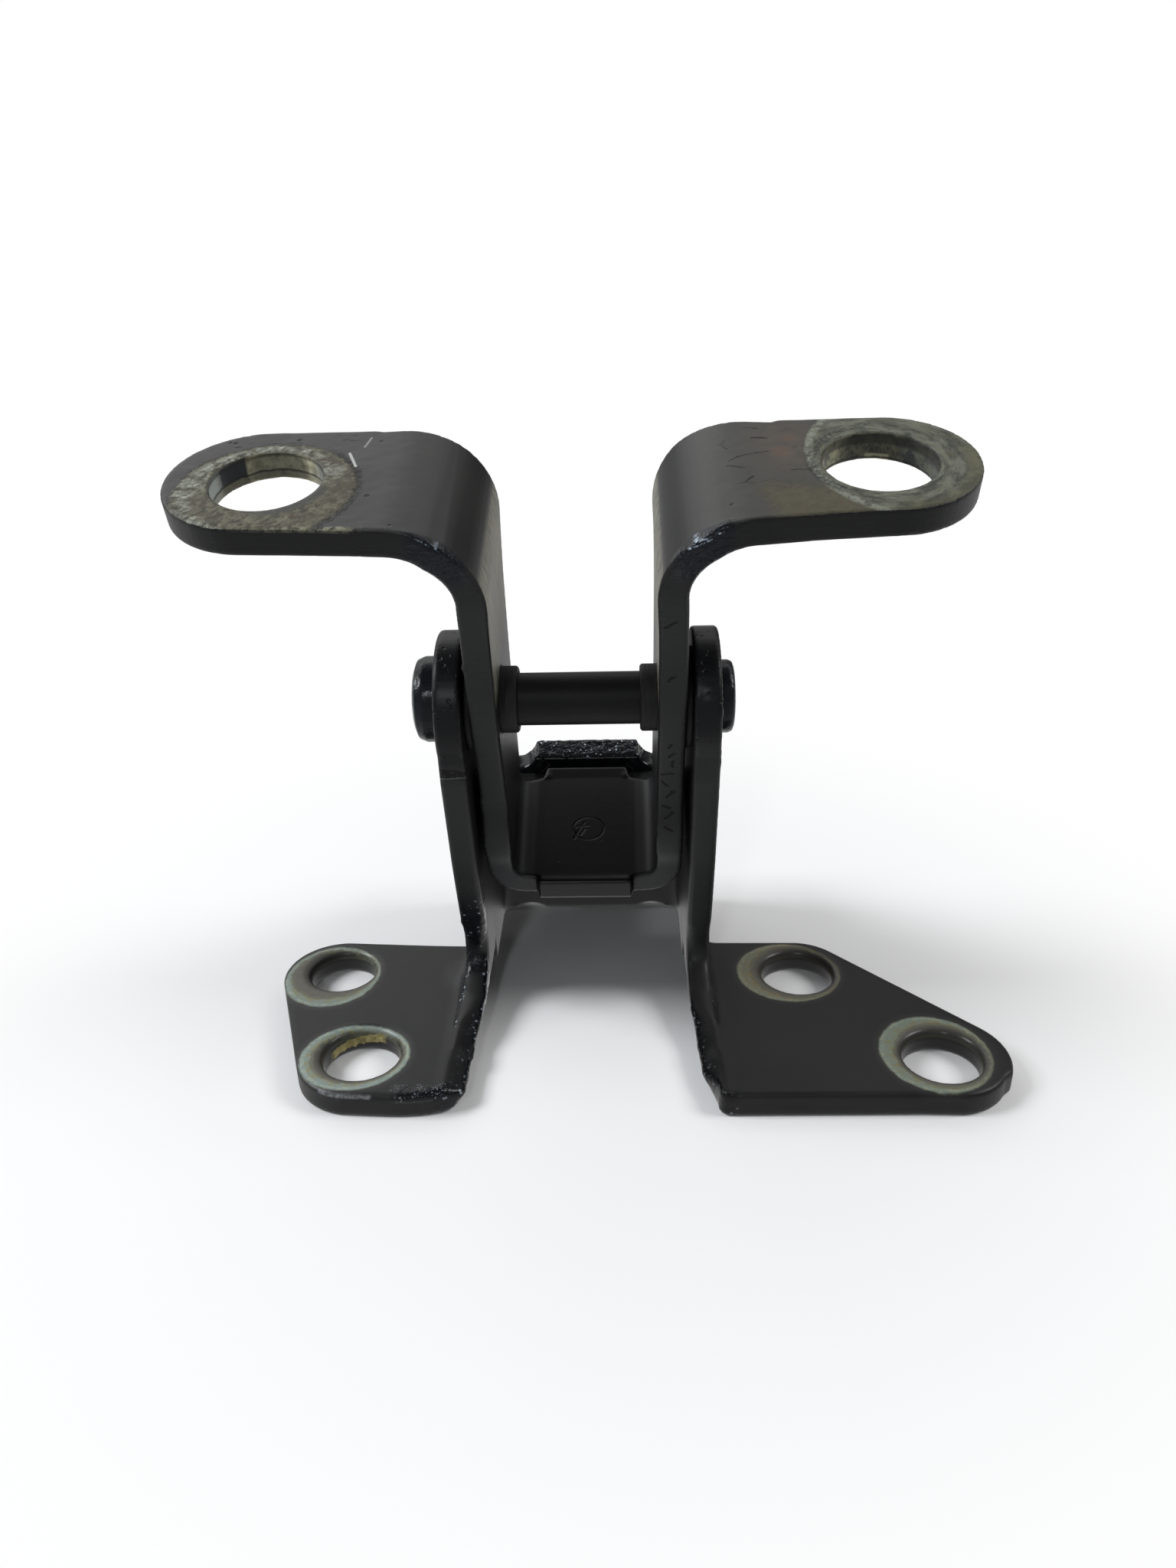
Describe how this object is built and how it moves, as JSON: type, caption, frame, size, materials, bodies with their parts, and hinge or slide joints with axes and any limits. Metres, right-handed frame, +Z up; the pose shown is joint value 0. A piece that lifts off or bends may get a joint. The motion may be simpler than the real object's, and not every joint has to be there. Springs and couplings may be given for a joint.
{
  "type": "car door hinge",
  "caption": "Stamped steel car door hinge: a body bracket with bolt feet and upright ears, a door bracket with bolt flanges, joined by a riveted pin in flanged bushes.",
  "frame": {"origin": "bottom centre of the bounding box, so the undersides of the feet lie at z = 0", "axes": "+X along the hinge pin towards its riveted end, +Y away from the feet's front edges towards the web, +Z up from the feet to the door flanges"},
  "size_m": [0.12, 0.0634, 0.0957],
  "materials": {
    "body_bracket": "satin black paint, bare pale primer round the bolt holes",
    "door_bracket": "satin black paint, worn to mottled grey-green round the bolt holes",
    "pin": "satin black paint",
    "bush": "satin black paint over a flanged steel bush"
  },
  "bodies": {
    "body_side": {"outer_bracket": "body_bracket", "hinge_pin": "pin"},
    "door_side": {"inner_bracket": "door_bracket", "left_bush": "bush", "right_bush": "bush"}
  },
  "joints": [
    {"name": "door_swing", "type": "hinge", "parent": "body_side", "child": "door_side", "pos_m": [-0.00545, -0.00235, 0.0558], "axis": [-1, 0, 0], "range_deg": [-1, 70]}
  ]
}
